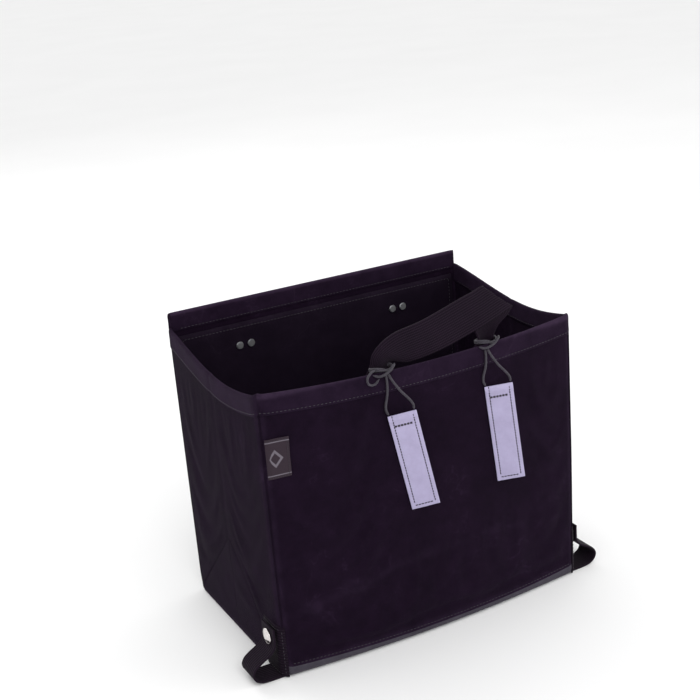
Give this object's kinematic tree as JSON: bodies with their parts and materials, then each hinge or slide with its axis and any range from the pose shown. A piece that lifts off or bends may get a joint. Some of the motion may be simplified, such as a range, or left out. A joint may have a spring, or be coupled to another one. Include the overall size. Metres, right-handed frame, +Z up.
{
  "type": "folding grocery pannier",
  "caption": "Open-topped black cloth grocery bag for a bicycle rack, with rack hooks, stiff back, creased sides and bottom that fold flat, carry handles and reflective pulls.",
  "frame": {"origin": "middle of the underside, on the surface that the bag stands on", "axes": "+Z up; the front, with the handle and reflective pulls, faces -Y; the back with the rack hooks faces +Y; +X to the right seen from the front"},
  "size_m": [0.3748, 0.2397, 0.315],
  "materials": {
    "waxed_cloth": "matte black coated canvas with a fine weave and a faint purple cast",
    "hem_cloth": "matte black coated canvas, folded and topstitched",
    "bottom_cloth": "matte dark grey coated cloth, thicker weave",
    "stiff_sheet": "satin black sheet",
    "webbing": "black ribbed webbing",
    "elastic_cord": "dark grey braided elastic cord",
    "reflective_tape": "pale silver reflective fabric with dark stitched border",
    "woven_label": "black woven label with plain woven bars",
    "nickel": "polished nickel",
    "aluminium": "brushed aluminium"
  },
  "bodies": {
    "back": {"back_panel": "waxed_cloth", "back_board": "stiff_sheet", "back_hem": "hem_cloth", "hook_rail": "aluminium", "hook_left": "aluminium", "hook_right": "aluminium", "hook_rivet_1": "aluminium", "hook_rivet_2": "aluminium", "hook_rivet_3": "aluminium", "hook_rivet_4": "aluminium", "ring_tab": "webbing", "rear_handle_end_left": "webbing", "rear_handle_end_right": "webbing"},
    "side_left_rear_half": {"side_left_rear": "waxed_cloth", "side_hem_left_rear": "hem_cloth"},
    "corner_left_rear_fold": {"corner_left_rear": "waxed_cloth"},
    "side_left_front_half": {"side_left_front": "waxed_cloth", "side_hem_left_front": "hem_cloth"},
    "corner_left_front_fold": {"corner_left_front": "waxed_cloth"},
    "side_right_rear_half": {"side_right_rear": "waxed_cloth", "side_hem_right_rear": "hem_cloth"},
    "corner_right_rear_fold": {"corner_right_rear": "waxed_cloth"},
    "side_right_front_half": {"side_right_front": "waxed_cloth", "side_hem_right_front": "hem_cloth"},
    "corner_right_front_fold": {"corner_right_front": "waxed_cloth"},
    "bottom_rear_half": {"bottom_rear": "bottom_cloth", "bottom_board_rear": "stiff_sheet"},
    "bottom_front_half": {"bottom_front": "bottom_cloth", "bottom_board_front": "stiff_sheet"},
    "front": {"front_panel": "waxed_cloth", "front_hem": "hem_cloth", "label": "woven_label", "handle_end_left": "webbing", "handle_end_right": "webbing", "cord_hitch_left": "elastic_cord", "cord_hitch_right": "elastic_cord", "corner_patch_left": "webbing", "loop_foot_left": "webbing", "snap_stud_left": "nickel", "corner_patch_right": "webbing", "loop_foot_right": "webbing", "snap_stud_right": "nickel"},
    "front_handle": {"handle_loop": "webbing"},
    "pull_left": {"cord_left": "elastic_cord", "tab_left": "reflective_tape"},
    "pull_right": {"cord_right": "elastic_cord", "tab_right": "reflective_tape"},
    "strap_left": {"loop_strap_left": "webbing", "snap_cap_left": "nickel", "snap_socket_left": "nickel"},
    "strap_right": {"loop_strap_right": "webbing", "snap_cap_right": "nickel", "snap_socket_right": "nickel"},
    "ring": {"d_ring": "nickel"},
    "rear_grip": {"rear_handle": "webbing"}
  },
  "joints": [
    {"name": "fold", "type": "hinge", "parent": "back", "child": "side_left_rear_half", "pos_m": [-0.157, 0.0927, 0], "axis": [0, 0, 1], "range_deg": [0, 86]},
    {"name": "left_crease", "type": "hinge", "parent": "side_left_rear_half", "child": "side_left_front_half", "pos_m": [-0.1676, -0.00165, 0], "axis": [0, 0, 1], "range_deg": [-172, 0]},
    {"name": "front_corner", "type": "hinge", "parent": "side_left_front_half", "child": "front", "pos_m": [-0.157, -0.096, 0], "axis": [0, 0, 1], "range_deg": [0, 86]},
    {"name": "right_rear_corner", "type": "hinge", "parent": "back", "child": "side_right_rear_half", "pos_m": [0.157, 0.0927, 0], "axis": [0, 0, 1], "range_deg": [-86, 0]},
    {"name": "right_crease", "type": "hinge", "parent": "side_right_rear_half", "child": "side_right_front_half", "pos_m": [0.1676, -0.00165, 0], "axis": [0, 0, 1], "range_deg": [0, 172]},
    {"name": "bottom_rear_crease", "type": "hinge", "parent": "back", "child": "bottom_rear_half", "pos_m": [0, 0.0877, 0.0047], "axis": [-1, 0, 0], "range_deg": [0, 86]},
    {"name": "bottom_crease", "type": "hinge", "parent": "bottom_rear_half", "child": "bottom_front_half", "pos_m": [0, -0.00165, -0.0009], "axis": [-1, 0, 0], "range_deg": [-172, 0]},
    {"name": "corner_left_rear_crease", "type": "hinge", "parent": "side_left_rear_half", "child": "corner_left_rear_fold", "pos_m": [-0.1593, 0.0927, 0.0052], "axis": [0, 0.7071, -0.7071], "range_deg": [0, 172], "deforming": ["corner_left_rear"]},
    {"name": "corner_left_front_crease", "type": "hinge", "parent": "side_left_front_half", "child": "corner_left_front_fold", "pos_m": [-0.1593, -0.096, 0.0052], "axis": [0, 0.7071, 0.7071], "range_deg": [0, 172], "deforming": ["corner_left_front"]},
    {"name": "corner_right_rear_crease", "type": "hinge", "parent": "side_right_rear_half", "child": "corner_right_rear_fold", "pos_m": [0.1593, 0.0927, 0.0052], "axis": [0, -0.7071, 0.7071], "range_deg": [0, 172], "deforming": ["corner_right_rear"]},
    {"name": "corner_right_front_crease", "type": "hinge", "parent": "side_right_front_half", "child": "corner_right_front_fold", "pos_m": [0.1593, -0.096, 0.0052], "axis": [0, -0.7071, -0.7071], "range_deg": [0, 172], "deforming": ["corner_right_front"]},
    {"name": "front_handle_swing", "type": "hinge", "parent": "front", "child": "front_handle", "pos_m": [0.0085, -0.10183, 0.272], "axis": [1, 0, 0], "range_deg": [-90, 90]},
    {"name": "pull_left_swing", "type": "hinge", "parent": "front", "child": "pull_left", "pos_m": [-0.0435, -0.1119, 0.26685], "axis": [1, 0, 0], "range_deg": [-150, 0], "deforming": ["cord_left", "cord_hitch_left"]},
    {"name": "pull_right_swing", "type": "hinge", "parent": "front", "child": "pull_right", "pos_m": [0.0575, -0.11076, 0.26685], "axis": [1, 0, 0], "range_deg": [-150, 0], "deforming": ["cord_right", "cord_hitch_right"]},
    {"name": "strap_left_peel", "type": "hinge", "parent": "front", "child": "strap_left", "pos_m": [-0.1874, -0.0805, 0.011], "axis": [0, -1, 0], "range_deg": [0, 110]},
    {"name": "strap_right_peel", "type": "hinge", "parent": "front", "child": "strap_right", "pos_m": [0.1874, -0.0805, 0.011], "axis": [0, 1, 0], "range_deg": [0, 110]},
    {"name": "ring_swing", "type": "hinge", "parent": "back", "child": "ring", "pos_m": [0, 0.10252, 0.062], "axis": [1, 0, 0], "range_deg": [0, 150]},
    {"name": "rear_handle_swing", "type": "hinge", "parent": "back", "child": "rear_grip", "pos_m": [0, 0.1027, 0.27], "axis": [1, 0, 0], "range_deg": [0, 170]}
  ],
  "couplings": [
    {"joint": "left_crease", "follows": "fold", "ratio": -2},
    {"joint": "front_corner", "follows": "fold", "ratio": 1},
    {"joint": "right_rear_corner", "follows": "fold", "ratio": -1},
    {"joint": "right_crease", "follows": "fold", "ratio": 2},
    {"joint": "bottom_rear_crease", "follows": "fold", "ratio": 1},
    {"joint": "bottom_crease", "follows": "fold", "ratio": -2},
    {"joint": "corner_left_rear_crease", "follows": "fold", "ratio": 2},
    {"joint": "corner_left_front_crease", "follows": "fold", "ratio": 2},
    {"joint": "corner_right_rear_crease", "follows": "fold", "ratio": 2},
    {"joint": "corner_right_front_crease", "follows": "fold", "ratio": 2}
  ]
}
